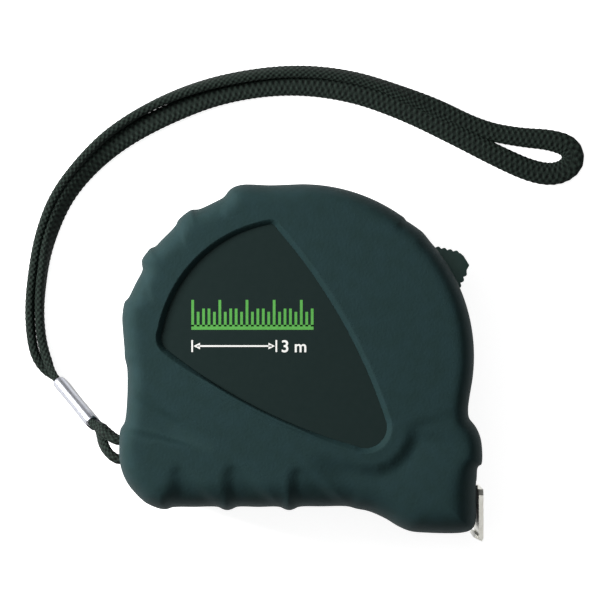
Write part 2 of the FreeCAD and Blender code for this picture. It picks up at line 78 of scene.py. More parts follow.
HALF = 17  # half the case's thickness, in mm
CASE_T = mm(2 * HALF)
MID = CASE_T / 2
REEL = Vector(mm(0.2, 1.3, 0))
print("case", CASE_T, "m thick, middle plane at", MID)

# %% [markdown]
# ## Camera and light
# A pocket tape is a flat, dark, matt object. It shows best from straight above, on a white
# table, with one large soft box at the upper left and white card all round. The camera could be
# orthographic, but a real lens from half a metre shows a little of the rim, so a long
# perspective lens is used. Its length follows from the width it sees: 114 mm at the middle plane.

# %% Camera
WIDTH_SEEN = mm(114)
CAMERA_Z = mm(537)
SENSOR = 36.0
camera_data = bpy.data.cameras.new("camera")
camera_data.sensor_width = SENSOR
camera_data.lens = SENSOR * (CAMERA_Z - MID) / WIDTH_SEEN
camera_data.clip_start = 0.01
camera_data.clip_end = 5
camera = bpy.data.objects.new("camera", camera_data)
camera.location = (*mm(-0.19, 11.78), CAMERA_Z)
bpy.context.scene.collection.objects.link(camera)
bpy.context.scene.camera = camera
print("lens", round(camera_data.lens, 1), "mm at", tuple(round(v, 4) for v in camera.location))

# %% [markdown]
# The light is a white world for the fill, a soft box at the upper left that brightens the left
# rim, and a weaker one above. Suns would do too, but the broad reflection of an area light is
# what makes matt rubber look rounded. The table is a white light table, whose own glow drowns
# most of the shadow. It is 8 m wide, so that the blade stays over it when it is pulled out.

# %% Light and table
world = bpy.data.worlds.new("studio")
world.use_nodes = True
world.node_tree.nodes["Background"].inputs["Color"].default_value = (1, 1, 1, 1)
world.node_tree.nodes["Background"].inputs["Strength"].default_value = 0.10
bpy.context.scene.world = world
bpy.context.scene.view_settings.view_transform = "Standard"


def soft_box(name, place, aim, size, watts):
    """A square area light. Lengths are in metres."""
    light = bpy.data.lights.new(name, "AREA")
    light.shape = "SQUARE"
    light.size = size
    light.energy = watts
    lamp = bpy.data.objects.new(name, light)
    lamp.location = place
    lamp.rotation_euler = (Vector(aim) - Vector(place)).to_track_quat("-Z", "Y").to_euler()
    bpy.context.scene.collection.objects.link(lamp)


soft_box("key_light", (-0.29, 0.115, 0.21), (0, 0, 0.02), 0.14, 3.4)
soft_box("top_light", (-0.15, 0.25, 1.1), (0, 0, 0), 0.8, 3.6)


def material(name, colour, roughness=0.5, metallic=0.0, specular=0.5, ior=1.5):
    """A principled material, with its nodes to hand for the details."""
    made = bpy.data.materials.new(name)
    made.use_nodes = True
    shader = made.node_tree.nodes["Principled BSDF"]
    shader.inputs["Base Color"].default_value = (*colour, 1)
    shader.inputs["Roughness"].default_value = roughness
    shader.inputs["Metallic"].default_value = metallic
    shader.inputs["Specular IOR Level"].default_value = specular
    shader.inputs["IOR"].default_value = ior
    return made, made.node_tree, shader


table_bm = bmesh.new()
bmesh.ops.create_grid(table_bm, x_segments=1, y_segments=1, size=4)
table = piece_from("table", table_bm)
table.location.z = mm(-0.1)
table_material, _, table_shader = material("light_table", (0.5, 0.5, 0.5), 0.9, specular=0.1)
table_shader.inputs["Emission Color"].default_value = (1, 1, 1, 1)
table_shader.inputs["Emission Strength"].default_value = 0.88
table.data.materials.append(table_material)
print("lights", [light.name for light in bpy.data.lights])

# %% [markdown]
# ## The wrist strap
# The real strap is one flat braid of black polyester, about 4 mm wide and 2 mm thick. It goes
# round a pin inside the case, both ends pass through a crimped metal tube, and the rest is the
# loop for the hand. A limp braid stands on its edge where it bends sideways and lies flat where
# it has room, so the loop is on edge near the tube and flat at its far end.
# It could be a curve with a bevel, but a bevel can't change from edge to flat while it also
# narrows into the tube. So a flat grid is rolled round the route: one direction of the grid
# runs along the route, the other goes once round the flat section. Its UVs then run along and
# round the braid, which is just what the weave needs.

# %% The route of the loop and of the tail
LOOP_POINTS = [
    (-46.31, -4.87, 3.76), (-47.6, -3.6, 2.5), (-50.0, -2.0, 1.9), (-51.9, 0.6, 1.9),
    (-52.8, 4.7, 1.9), (-53.1, 10.6, 1.9), (-52.4, 17.6, 1.9), (-51.1, 24.8, 1.9),
    (-48.3, 32.3, 1.9), (-42.9, 39.4, 1.9), (-36.8, 45.3, 1.9), (-27.4, 50.9, 1.9),
    (-15.7, 54.9, 1.9), (-1.2, 56.9, 1.9), (12.4, 55.2, 1.9), (24.9, 50.1, 1.6),
    (35.0, 45.1, 1.0), (42.8, 43.6, 1.0), (48.9, 43.2, 1.0), (53.0, 41.7, 1.0),
    (53.4, 38.4, 1.0), (50.2, 36.3, 1.0), (45.4, 36.8, 1.1), (38.6, 39.8, 1.5),
    (30.1, 44.2, 1.5), (20.3, 49.0, 1.4), (9.6, 52.8, 1.2), (-2.5, 54.2, 1.0),
    (-15.4, 52.4, 1.0), (-26.6, 48.0, 1.0), (-35.4, 43.2, 1.1), (-41.9, 37.6, 1.45),
    (-46.8, 30.9, 1.6), (-49.5, 23.8, 1.8), (-50.8, 15.9, 1.9), (-51.2, 10.2, 1.9),
    (-50.9, 5.1, 1.9), (-50.0, 1.2, 2.4), (-48.40, -2.50, 4.60), (-47.19, -3.95, 5.69),
]
TAIL_POINTS = [
    (-40.16, -11.54, 12.52), (-39.30, -12.30, 13.30), (-38.1, -12.5, 14.4), (-36.8, -13.8, 15.9),
    (-34.4, -15.2, 17.0), (-27.0, -15.2, 17.0), (-27.0, -18.7, 17.0), (-34.4, -18.8, 17.0),
    (-36.5, -17.6, 16.0), (-37.8, -15.7, 14.0), (-38.50, -13.50, 11.60), (-39.30, -12.46, 10.60),
]


def route_points(name, points):
    """The smooth line of a NURBS spline with these control points, read back as points."""
    data = bpy.data.curves.new(name, "CURVE")
    data.dimensions = "3D"
    data.resolution_u = 24
    spline = data.splines.new("NURBS")
    spline.points.add(len(points) - 1)
    for p, xyz in zip(spline.points, points):
        p.co = (*mm(*xyz), 1)
    spline.order_u = 3
    spline.use_endpoint_u = True
    holder = bpy.data.objects.new(name, data)
    line = bpy.data.meshes.new_from_object(holder)
    found = np.array([v.co for v in line.vertices])
    bpy.data.objects.remove(holder)
    return found


def even_steps(line, step):
    """The same line with points an even step apart, and its length."""
    gaps = np.linalg.norm(np.diff(line, axis=0), axis=1)
    run = np.concatenate([[0], np.cumsum(gaps)])
    count = int(run[-1] / step)
    at = np.linspace(0, run[-1], count + 1)
    return np.stack([np.interp(at, run, line[:, k]) for k in range(3)], axis=1), at


loop_line, loop_at = even_steps(route_points("loop_route", LOOP_POINTS), mm(0.22))
tail_line, tail_at = even_steps(route_points("tail_route", TAIL_POINTS), mm(0.2))
print("loop", round(loop_at[-1] * 1000, 1), "mm; tail", round(tail_at[-1] * 1000, 1), "mm")

# %% Rolling a grid round a route
STRAP_T = mm(1.9)
AROUND = 56  # faces once round the section
YARNS = 7  # yarns of each slant, once round
YARN_LENGTH = 1.15  # in mm
YARN_RELIEF = mm(0.055)


def smooth_keys(at, keys):
    """Values that ease from key to key. Keys are (distance in mm, value)."""
    d = np.array([k[0] for k in keys]) * 0.001
    v = np.array([k[1] for k in keys], float)
    i = np.clip(np.searchsorted(d, at) - 1, 0, len(d) - 2)
    t = np.clip((at - d[i]) / (d[i + 1] - d[i]), 0, 1)
    t = t * t * (3 - 2 * t)
    return v[i] + (v[i + 1] - v[i]) * t


def braid(name, line, at, flatness, widths):
    """A flat braid along a line. flatness is 0 where it stands on edge and 1 where it lies flat."""
    bm = bmesh.new()
    uv = bm.loops.layers.uv.new("UVMap")
    bmesh.ops.create_grid(bm, x_segments=len(line) - 1, y_segments=AROUND, size=1, calc_uvs=True)
    tangent = np.gradient(line, axis=0)
    tangent /= np.linalg.norm(tangent, axis=1)[:, None]
    lean = smooth_keys(at, flatness) * math.pi / 2
    wide = smooth_keys(at, widths) * 0.001
    for v in bm.verts:
        i = round((v.co.x + 1) / 2 * (len(line) - 1))
        turn = (v.co.y + 1) * math.pi
        t = Vector(tangent[i])
        flat_way = t.cross(Vector((0, 0, 1))).normalized()
        tall_way = flat_way.cross(t).normalized()
        across = tall_way * math.cos(lean[i]) + flat_way * math.sin(lean[i])
        through = t.cross(across)
        c, s = math.cos(turn), math.sin(turn)
        thick = min(STRAP_T, wide[i])
        # A flat section with round edges, and yarns that sink a little where they cross.
        w = wide[i] / 2 * math.copysign(abs(c) ** 0.7, c)
        h = thick / 2 * math.copysign(abs(s) ** 0.75, s)
        along = 2 * math.pi * at[i] / mm(YARN_LENGTH)
        over = (math.sin(along + YARNS * turn) + math.sin(along - YARNS * turn)) / 2
        grow = 1 + YARN_RELIEF * (over - 1) / math.hypot(w, h)
        v.co = Vector(line[i]) + (across * w + through * h) * grow
    for face in bm.faces:
        for corner in face.loops:
            corner[uv].uv = (corner[uv].uv[0] * at[-1] * 1000, corner[uv].uv[1])
    bmesh.ops.remove_doubles(bm, verts=bm.verts, dist=mm(0.004))
    open_edges = [e for e in bm.edges if e.is_boundary]
    bmesh.ops.holes_fill(bm, edges=open_edges, sides=AROUND + 4)
    bmesh.ops.recalc_face_normals(bm, faces=bm.faces)
    return piece_from(name, bm, smooth=True)


end = loop_at[-1] * 1000
loop_flatness = [(0, 0), (55, 0), (85, 0.27), (112, 0.3), (131, 1), (end - 60, 1),
                 (end - 36, 0.5), (end - 22, 0.1), (end - 14, 0), (end, 0)]
loop_widths = [(0, 1.5), (2, 1.5), (12, 3.6), (30, 3.8), (138, 3.8), (156, 4.5), (180, 4.3),
               (end - 60, 4.0), (end - 30, 3.7), (end - 12, 3.5), (end - 2, 1.5), (end, 1.5)]
strap_loop = braid("strap_loop_braid", loop_line, loop_at, loop_flatness, loop_widths)
end = tail_at[-1] * 1000
tail_flatness = [(0, 0), (3, 0.25), (10, 0), (end - 10, 0), (end - 3, 0.25), (end, 0)]
tail_widths = [(0, 1.6), (1.0, 1.7), (6, 3.2), (end - 6, 3.2), (end - 1.0, 1.7), (end, 1.6)]
strap_tail = braid("strap_tail_braid", tail_line, tail_at, tail_flatness, tail_widths)
print("braid quads", len(strap_loop.data.polygons), len(strap_tail.data.polygons))
lowest = min(v.co.z for v in strap_loop.data.vertices)
print("the loop's lowest point", round(lowest * 1000, 2), "mm above the table")

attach(strap_loop, "case")
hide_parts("strap_loop")
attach(strap_tail, "case")
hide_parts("strap_tail")
print("the strap is", strap_loop.name, "and", strap_tail.name)

# %% [markdown]
# ## The rubber jacket
# On the real tape the two moulded shells are over-moulded with soft rubber. Its rim is rounded
# like a barrel, and it carries the shapes that fingers feel: pads with scallops between them at
# the upper left, a wedge-shaped hollow beside the strap, flutes underneath, a swoosh over the
# nose, and the sunk leaf-shaped label.
# Such a surface could be sculpted, or cut from a solid with many small booleans. But nearly all
# of it can be seen from above as one height for each place, so it is made as a sheet of rings:
# each ring follows the outline, the rings step inwards to the label, and one function gives the
# height. The sheet is a grid that is rolled up in both directions, first round the case and then
# round the section, so it closes into a solid ring with a seam at the middle plane.

# %% The outline of the rubber
DOME_R = 32.3
# Corners listed in millimetres, round the case from the top of the dome to the neck.
GRIP_SIDE = [
    (-5.7, 33.4), (-11.0, 33.5), (-12.9, 32.9), (-13.8, 32.1), (-14.5, 31.2), (-16.7, 30.0),
    (-19.2, 28.9), (-20.5, 28.8), (-21.4, 28.3), (-23.1, 26.8), (-23.6, 25.8), (-26.3, 23.0),
    (-27.4, 21.9), (-28.2, 21.6), (-29.1, 20.6), (-29.9, 19.3), (-29.9, 18.3), (-29.8, 17.5),
    (-31.1, 14.9), (-32.4, 12.3), (-33.1, 11.5), (-33.5, 9.6), (-33.6, 8.2), (-33.4, 5.3),
    (-33.2, 2.9), (-33.1, 1.0), (-32.7, -0.8), (-32.6, -3.5), (-32.9, -9.7), (-33.2, -11.2),
    (-33.9, -12.4), (-34.1, -14.3),
]
HEEL_AND_UNDERSIDE = [
    (-34.1, -18.3), (-33.6, -20.6), (-32.7, -22.6), (-31.5, -24.2), (-29.3, -26.3), (-27.2, -27.3),
    (-26.1, -27.6), (-25.1, -27.6), (-24.2, -27.3), (-23.0, -27.2), (-20.0, -27.2), (-15.6, -27.2),
    (-14.7, -27.6), (-13.8, -27.8), (-12.9, -27.6), (-12.0, -27.2), (-8.0, -27.2), (-4.0, -27.2),
    (-3.1, -27.6), (-2.2, -27.8), (-1.3, -27.6), (-0.4, -27.2), (4.0, -27.1), (8.8, -27.1),
    (10.3, -27.5), (12.7, -28.0),
]
NOSE = [
    (15.7, -29.3), (18.2, -30.8), (20.4, -31.7), (23.3, -32.0), (30.2, -32.0), (31.8, -31.5),
    (32.7, -30.5), (33.0, -28.5), (33.0, -24.0), (33.1, -21.5), (33.3, -19.5), (33.9, -19.1),
    (34.0, -15.8), (33.6, -13.6), (32.8, -11.9), (31.6, -10.3), (31.4, -8.6),
]


def dome(a0, a1, radius=DOME_R):
    """Points of the dome, every two degrees, counter-clockwise."""
    steps = max(2, round(abs(a1 - a0) / 2))
    angles = [math.radians(a0 + (a1 - a0) * k / steps) for k in range(steps + 1)]
    return [(0.2 + radius * math.cos(a), 1.3 + radius * math.sin(a)) for a in angles]


# Above the lock button the rim is dished a little, so that the thumb finds it.
THUMB_DISH = [(24.6, 22.4), (22.9, 24.5), (22.3, 25.0), (20.3, 26.4), (19.8, 26.7)]
corners = dome(-11, 38.5) + THUMB_DISH + dome(53.6, 90) + GRIP_SIDE + HEEL_AND_UNDERSIDE + NOSE


def through(points, per_span=12):
    """A smooth closed line through the points (a centripetal Catmull-Rom spline)."""
    p = np.array(points, float)
    n = len(p)
    out = []
    for i in range(n):
        a, b, c, d = p[i - 1], p[i], p[(i + 1) % n], p[(i + 2) % n]
        k0 = math.sqrt(np.linalg.norm(b - a))
        k1 = math.sqrt(np.linalg.norm(c - b))
        k2 = math.sqrt(np.linalg.norm(d - c))
        m1 = (c - b + k1 * ((b - a) / k0 - (c - a) / (k0 + k1)))
        m2 = (c - b + k1 * ((d - c) / k2 - (d - b) / (k1 + k2)))
        for s in np.arange(per_span) / per_span:
            h = (2 * s**3 - 3 * s**2 + 1, s**3 - 2 * s**2 + s, 3 * s**2 - 2 * s**3, s**3 - s**2)
            out.append(h[0] * b + h[1] * m1 + h[2] * c + h[3] * m2)
    return np.array(out)


def spaced(line, count):
    """count points at even spacing along a closed line, the first repeated at the end."""
    loop = np.vstack([line, line[:1]])
    run = np.concatenate([[0], np.cumsum(np.linalg.norm(np.diff(loop, axis=0), axis=1))])
    at = np.linspace(0, run[-1], count + 1)
    return np.stack([np.interp(at, run, loop[:, k]) for k in range(2)], axis=1)


RAYS = 960
outline = spaced(through(corners), RAYS)
print("outline", np.round(outline.min(0), 1), "to", np.round(outline.max(0), 1), "mm")

# %% [markdown]
# The label's edge is six arcs, each given by its ends and one point between. Every ray runs from
# the outline towards a centre inside the label and stops at the label's edge.

# %% The edge of the label, and the rays
LABEL_ARCS = [
    ((-4.5, 25.2), (8.0, 7.4), (16.0, -11.1)), ((16.0, -11.1), (15.0, -14.4), (10.3, -15.3)),
    ((10.3, -15.3), (-6.4, -9.0), (-24.6, 2.4)), ((-24.6, 2.4), (-26.0, 4.3), (-25.8, 6.2)),
    ((-25.8, 6.2), (-18.9, 19.2), (-5.6, 26.0)), ((-5.6, 26.0), (-5.0, 25.8), (-4.5, 25.2)),
]


def arc_through(a, b, c, steps):
    """Points on the circle through a, b and c, from a towards c, without c."""
    ax, ay = np.subtract(a, b)
    cx, cy = np.subtract(c, b)
    d = 2 * (ax * cy - ay * cx)
    ux = (cy * (ax * ax + ay * ay) - ay * (cx * cx + cy * cy)) / d
    uy = (ax * (cx * cx + cy * cy) - cx * (ax * ax + ay * ay)) / d
    r = math.hypot(ux, uy)
    middle = (b[0] + ux, b[1] + uy)
    t0 = math.atan2(a[1] - middle[1], a[0] - middle[0])
    t1 = math.atan2(c[1] - middle[1], c[0] - middle[0])
    sweep = (t1 - t0 + math.pi) % (2 * math.pi) - math.pi
    return [(middle[0] + r * math.cos(t0 + sweep * k / steps),
             middle[1] + r * math.sin(t0 + sweep * k / steps)) for k in range(steps)]


CENTRE = np.array([-3.0, 2.0])
label_line = np.array([p for a, b, c in LABEL_ARCS for p in arc_through(a, b, c, 60)])
# The rubber laps a fifth of a millimetre over the label's edge.
label_line = CENTRE + (label_line - CENTRE) * 0.989


def at_angle(line, angles):
    """Where rays from CENTRE at these angles meet a closed line."""
    rel = line - CENTRE
    a = np.unwrap(np.arctan2(rel[:, 1], rel[:, 0]))
    if a[-1] < a[0]:
        a, rel = a[::-1], rel[::-1]
    r = np.linalg.norm(rel, axis=1)
    a = np.concatenate([a - 2 * math.pi, a, a + 2 * math.pi])
    r = np.tile(r, 3)
    angles = (angles - a[len(rel)]) % (2 * math.pi) + a[len(rel)]
    radius = np.interp(angles, a, r)
    return CENTRE + radius[:, None] * np.stack([np.cos(angles), np.sin(angles)], axis=1)


rel = outline - CENTRE
label_ends = at_angle(label_line, np.arctan2(rel[:, 1], rel[:, 0]))
print("label edge", np.round(label_ends.min(0), 1), "to", np.round(label_ends.max(0), 1), "mm")

# %% Distances to the outline and to the label
from mathutils.kdtree import KDTree


def tree_of(points):
    """A search tree over points in plan."""
    tree = KDTree(len(points))
    for i, (x, y) in enumerate(points):
        tree.insert((x, y, 0), i)
    tree.balance()
    return tree


def distance_to(line):
    """A function that gives the distance in mm from points to a closed line."""
    tree = tree_of(spaced(line[:-1] if np.allclose(line[0], line[-1]) else line, 9000)[:-1])

    def distance(pts):
        found = [tree.find((x, y, 0))[2] for x, y in pts.reshape(-1, 2)]
        return np.array(found).reshape(pts.shape[:-1])

    return distance


from_edge = distance_to(outline)
from_label = distance_to(label_line)
TRIES = 150
t_try = np.linspace(0, 1, TRIES)
tried = (outline[:, None, :] * (1 - t_try)[None, :, None]
         + label_ends[:, None, :] * t_try[None, :, None])
edge_gap = from_edge(tried)
label_gap = from_label(tried)


def where(gap, value, rising):
    """For each ray, how far along it the gap first passes the value."""
    found = np.empty(len(gap))
    for i, row in enumerate(gap):
        if rising:
            row = np.maximum.accumulate(row)
            found[i] = np.interp(value, row, t_try)
        else:
            row = np.maximum.accumulate(row[::-1])[::-1]
            found[i] = np.interp(-value, -row, t_try)
    return found


LIP = 0.95  # width of the slope round the label, in mm
# Where the rings lie, in mm from the outline and then from the label's edge.
RIM_STEPS = [0.15, 0.04, 0.0, 0.012, 0.035, 0.07, 0.12, 0.19, 0.28, 0.4, 0.55, 0.73, 0.95, 1.2,
             1.5, 1.85, 2.25, 2.7, 3.2, 3.75, 4.35, 5.0, 5.7, 6.4, 7.1]
LIP_STEPS = [LIP, 0.9, 0.8, 0.68, 0.55, 0.42, 0.3, 0.2, 0.1, 0.0]
FACE_RINGS = 34
lip_start = where(label_gap, LIP, rising=False)
ts = []
for k, d in enumerate(RIM_STEPS):
    on_ray = where(edge_gap, d, rising=True) if d else np.zeros(RAYS + 1)
    # Where the label is near the outline, the rings crowd together before the lip.
    ts.append(np.minimum(on_ray, lip_start - 0.004 * (60 - k)))
rim_end = ts[-1]
for k in range(1, FACE_RINGS):
    ts.append(rim_end + (lip_start - rim_end) * k / FACE_RINGS)
for d in LIP_STEPS:
    ts.append(where(label_gap, d, rising=False) if d else np.ones(RAYS + 1))
ts = np.array(ts)
plan = outline[None] * (1 - ts)[..., None] + label_ends[None] * ts[..., None]
print("rings", len(ts), "rays", RAYS, "steps in order", bool((np.diff(ts, axis=0) > 0).all()))

# %% [markdown]
# Heights come from simple rules. `hollow` sinks the inside of a polygon, with a wall as wide as
# asked for on each side, so one flute can have a steep wall on its right and fade out on its
# left. `step_along` gives the swoosh its slope on one side of a line.

# %% Height of the rubber over the plan
def ease(x):
    """From 0 to 1 with a soft start and a soft end."""
    x = np.clip(x, 0, 1)
    return x * x * (3 - 2 * x)


def hollow(pts, corners_and_walls, depth):
    """How deep a hollow is at each place. Each corner starts a side with its own wall width."""
    deep = np.full(pts.shape[:-1], 1.0)
    n = len(corners_and_walls)
    for i in range(n):
        x0, y0, wall = corners_and_walls[i]
        x1, y1, _ = corners_and_walls[(i + 1) % n]
        length = math.hypot(x1 - x0, y1 - y0)
        inside = ((x1 - x0) * (pts[..., 1] - y0) - (y1 - y0) * (pts[..., 0] - x0)) / length
        deep = deep * ease(inside / wall)
    return depth * deep


def step_along(pts, line, slope, depth, reach):
    """A step down on the right-hand side of a line, that fades at its ends and further out."""
    line = np.array(line, float)
    best = np.full(pts.shape[:-1], 1e9)
    side = np.zeros(pts.shape[:-1])
    where_on = np.zeros(pts.shape[:-1])
    for i in range(len(line) - 1):
        a, d = line[i], line[i + 1] - line[i]
        t = np.clip(((pts - a) @ d) / (d @ d), 0, 1)
        off = pts - (a + t[..., None] * d)
        far = np.linalg.norm(off, axis=-1)
        cross = d[0] * off[..., 1] - d[1] * off[..., 0]
        nearer = far < best
        best = np.where(nearer, far, best)
        side = np.where(nearer, np.sign(cross), side)
        where_on = np.where(nearer, (i + t) / (len(line) - 1), where_on)
    s = best * -side
    ends = ease(where_on / 0.28) * ease((1 - where_on) / 0.28)
    return depth * ends * ease((s + slope / 2) / slope) * np.exp(-np.clip(s, 0, None) / reach)


# Depths in mm. The numbers in a hollow are each corner's place and the width of the wall that
# starts there. Sides go counter-clockwise, so a hollow lies on the left of each of its sides.
FLUTE_DEPTH, SCALLOP_DEPTH, WEDGE_DEPTH, SWOOSH_DEPTH = 1.1, 0.35, 1.2, 1.1
LABEL_DEPTH, BEAD_HEIGHT = 0.95, 0.24
FLUTES = [
    [(-24.9, -31, 2.4), (-13.9, -31, 0.7), (-14.5, -26.6, 0.8), (-17.2, -22.6, 2.4),
     (-21.3, -18.0, 2.2), (-23.6, -17.3, 2.6), (-24.9, -18.5, 3.0)],
    [(-15.2, -31, 2.4), (-3.2, -31, 0.7), (-3.8, -26.4, 0.8), (-5.9, -23.2, 2.4),
     (-10.8, -18.0, 2.2), (-13.6, -17.3, 2.6), (-15.2, -18.5, 3.0)],
    [(-3.1, -31, 2.4), (9.2, -31, 0.7), (8.7, -26.0, 0.8), (6.6, -23.3, 2.4), (1.7, -18.5, 2.2),
     (-1.4, -17.8, 2.6), (-3.1, -19.0, 3.0)],
]
STRAP_WEDGE = [
    (-45, -9.4, 1.2), (-15.8, -16.7, 2.0), (-14.5, -15.2, 2.4), (-15.2, -13.4, 1.7),
    (-28.0, -5.6, 2.8), (-45, 4.8, 0.5),
]
SCALLOPS = [
    [(-13.2, 35.5, 1.0), (-21.5, 32.0, 1.2), (-18.3, 27.7, 0.6), (-13.4, 26.8, 1.8)],
    [(-22.6, 28.5, 1.0), (-31.0, 24.0, 1.5), (-27.6, 20.2, 2.5), (-21.0, 21.0, 0.6)],
    [(-29.4, 20.5, 1.0), (-37.0, 16.0, 1.5), (-33.2, 10.2, 2.2), (-27.0, 10.8, 0.6)],
]
SWOOSH = [(19.9, -10.2), (20.5, -12.0), (20.3, -14.2), (19.0, -16.7), (16.8, -18.7), (14.2, -19.7),
          (11.0, -19.6), (7.8, -18.7), (4.5, -17.4), (1.2, -16.3)]


def rubber_height(pts):
    """Height above the middle plane, in mm, for places in plan."""
    d = from_edge(pts)
    # The rim is rounded over 4.4 mm, and underneath over 7 mm and a little more softly.
    low_down = ease((-15 - pts[..., 1]) / 9)
    rim_width = 4.4 + 2.6 * low_down
    fullness = 3.2 - 0.2 * low_down
    rim = (1 - (1 - np.clip(d / rim_width, 0, 1)) ** fullness) ** (1 / fullness)
    # The flutes get deeper towards the rim.
    scooped = 0.4 + 0.6 * ease((-18.5 - pts[..., 1]) / 6)
    sunk = np.zeros(pts.shape[:-1])
    for flute in FLUTES:
        sunk += hollow(pts, flute, FLUTE_DEPTH) * scooped
    for scallop in SCALLOPS:
        sunk += hollow(pts, scallop, SCALLOP_DEPTH)
    sunk += hollow(pts, STRAP_WEDGE, WEDGE_DEPTH) * ease((-14.5 - pts[..., 0]) / 11)
    sunk += step_along(pts, SWOOSH[::-1], slope=3.4, depth=SWOOSH_DEPTH, reach=7.0)
    # The edge of the label's recess: a round shoulder above, a short slope below. Along the
    # lower left side the slope is steep, and a low bead runs beside it.
    gap = from_label(pts)
    around = np.arctan2(pts[..., 1] - CENTRE[1], pts[..., 0] - CENTRE[0])
    steep = ease((around + 3.05) / 0.35) * ease((-1.0 - around) / 0.45)
    sunk += LABEL_DEPTH * (1 - np.clip(gap / (LIP - 0.6 * steep), 0, 1)) ** 1.35
    sunk -= BEAD_HEIGHT * steep * np.exp(-((gap - 0.55) / 0.4) ** 2)
    return HALF * rim - sunk * rim**2


heights = rubber_height(plan)
# The first rings make a small groove where the two halves meet, so their heights are given.
SEAM_HEIGHTS = (0.0, 0.12, 0.32)
SEAM = len(SEAM_HEIGHTS)
heights[:SEAM] = np.array(SEAM_HEIGHTS)[:, None]
# The other rings are smoothed along the outline.
for _ in range(2):
    side_by_side = (np.roll(heights[:, :-1], 1, 1) + np.roll(heights[:, :-1], -1, 1)) / 2
    heights[SEAM:, :-1] = (heights[SEAM:, :-1] + side_by_side[SEAM:]) / 2
heights[:, -1] = heights[:, 0]
print("highest", round(HALF + heights.max(), 2), "mm; beside the label",
      round(HALF + heights[-1].min(), 2), "mm")

# %% [markdown]
# The inner side of the ring is hidden. It lies just inside the moulded shell, so no slit shows
# between rubber and shell at the openings.

# %% Roll the rings up into two halves
# Rings of the inner side: (distance from the outline, height above the middle plane), in mm.
INNER = [(7.5, 15.55), (5.0, 15.4), (3.3, 14.4), (2.3, 12.6), (1.8, 10.0), (1.75, 0.0)]
inner_plan = [label_ends]
inner_high = [np.full(RAYS + 1, INNER[0][1])]
for d, h in INNER:
    t = np.minimum(where(edge_gap, d, rising=True), 0.97)
    inner_plan.append(outline * (1 - t)[:, None] + label_ends * t[:, None])
    inner_high.append(np.full(RAYS + 1, h))
section_plan = np.concatenate([plan, inner_plan, plan[:1]])
section_high = np.concatenate([heights, inner_high, heights[:1]])

# On the rear half the rim is squarer round the screw in the nose, so that the screw's hole cuts
# less of the rounding.
NOSE_SCREW = (25.3, -28.7)
SQUARE_RIM, SQUARE_FULLNESS = 2.0, 3.2
near_screw = 1 - ease((np.linalg.norm(plan - NOSE_SCREW, axis=2) - 3.2) / 2.5)
near_screw[:SEAM] = 0
square = 1 - (1 - np.clip(from_edge(plan) / SQUARE_RIM, 0, 1)) ** SQUARE_FULLNESS
square = HALF * square ** (1 / SQUARE_FULLNESS)
rear_heights = heights + np.clip(square - heights, 0, None) * near_screw
# The rear face lies flat on the table, so its bead is left out.
rear_heights = np.minimum(rear_heights, HALF)
section_high_rear = np.concatenate([rear_heights, inner_high, rear_heights[:1]])


def rolled(name, places, highs, sign):
    """A solid ring from a grid rolled up round the case and round its section."""
    rings, rays = highs.shape
    bm = bmesh.new()
    bmesh.ops.create_grid(bm, x_segments=rays - 1, y_segments=rings - 1, size=1)
    for v in bm.verts:
        i = round((v.co.x + 1) / 2 * (rays - 1))
        j = round((v.co.y + 1) / 2 * (rings - 1))
        x, y = places[j, i]
        v.co = mm(x, y, HALF + sign * highs[j, i])
    bmesh.ops.remove_doubles(bm, verts=bm.verts, dist=mm(0.0005))
    bmesh.ops.recalc_face_normals(bm, faces=bm.faces)
    return piece_from(name, bm)


rubber_front = rolled("rubber_front", section_plan, section_high, 1)
rubber_rear = rolled("rubber_rear", section_plan, section_high_rear, -1)
print("quads in each half", len(rubber_front.data.polygons))

# %% [markdown]
# Both halves share three openings: the mouth, the strap's hole and the gap of the lock button.
# The rear half has three more, over the screws. They are straight moulded cuts, so here a Boolean
# is the right tool. Its cutters are joined into one mesh and removed afterwards.

# %% Openings
def cutter_box(bm, x0, x1, y0, y1, z0, z1):
    """A box between these limits in mm."""
    made = bmesh.ops.create_cube(bm, size=1)["verts"]
    size = Vector(mm(x1 - x0, y1 - y0, z1 - z0))
    middle = Vector(mm((x0 + x1) / 2, (y0 + y1) / 2, (z0 + z1) / 2))
    bmesh.ops.scale(bm, vec=size, verts=made)
    bmesh.ops.translate(bm, vec=middle, verts=made)


def cutter_rod(bm, x, y, z0, z1, r):
    """An upright rod of radius r in mm."""
    made = bmesh.ops.create_cone(bm, cap_ends=True, segments=48, radius1=mm(r), radius2=mm(r),
                                 depth=mm(z1 - z0))["verts"]
    bmesh.ops.translate(bm, vec=mm(x, y, (z0 + z1) / 2), verts=made)


def cutter_sector(bm, r0, r1, a0, a1, half_w):
    """A piece of a ring about the reel's axis, spun from a flat rectangle."""
    a = math.radians(a0)
    out = Vector((math.cos(a), math.sin(a), 0))
    low = REEL + out * mm(r0) + Vector((0, 0, MID - mm(half_w)))
    high = REEL + out * mm(r1) + Vector((0, 0, MID - mm(half_w)))
    up = Vector((0, 0, mm(2 * half_w)))
    face = bm.faces.new([bm.verts.new(p) for p in (low, high, high + up, low + up)])
    geom = [face] + list(face.edges) + list(face.verts)
    bmesh.ops.spin(bm, geom=geom, cent=REEL, axis=(0, 0, 1), angle=math.radians(a1 - a0),
                   steps=24, use_duplicate=False)


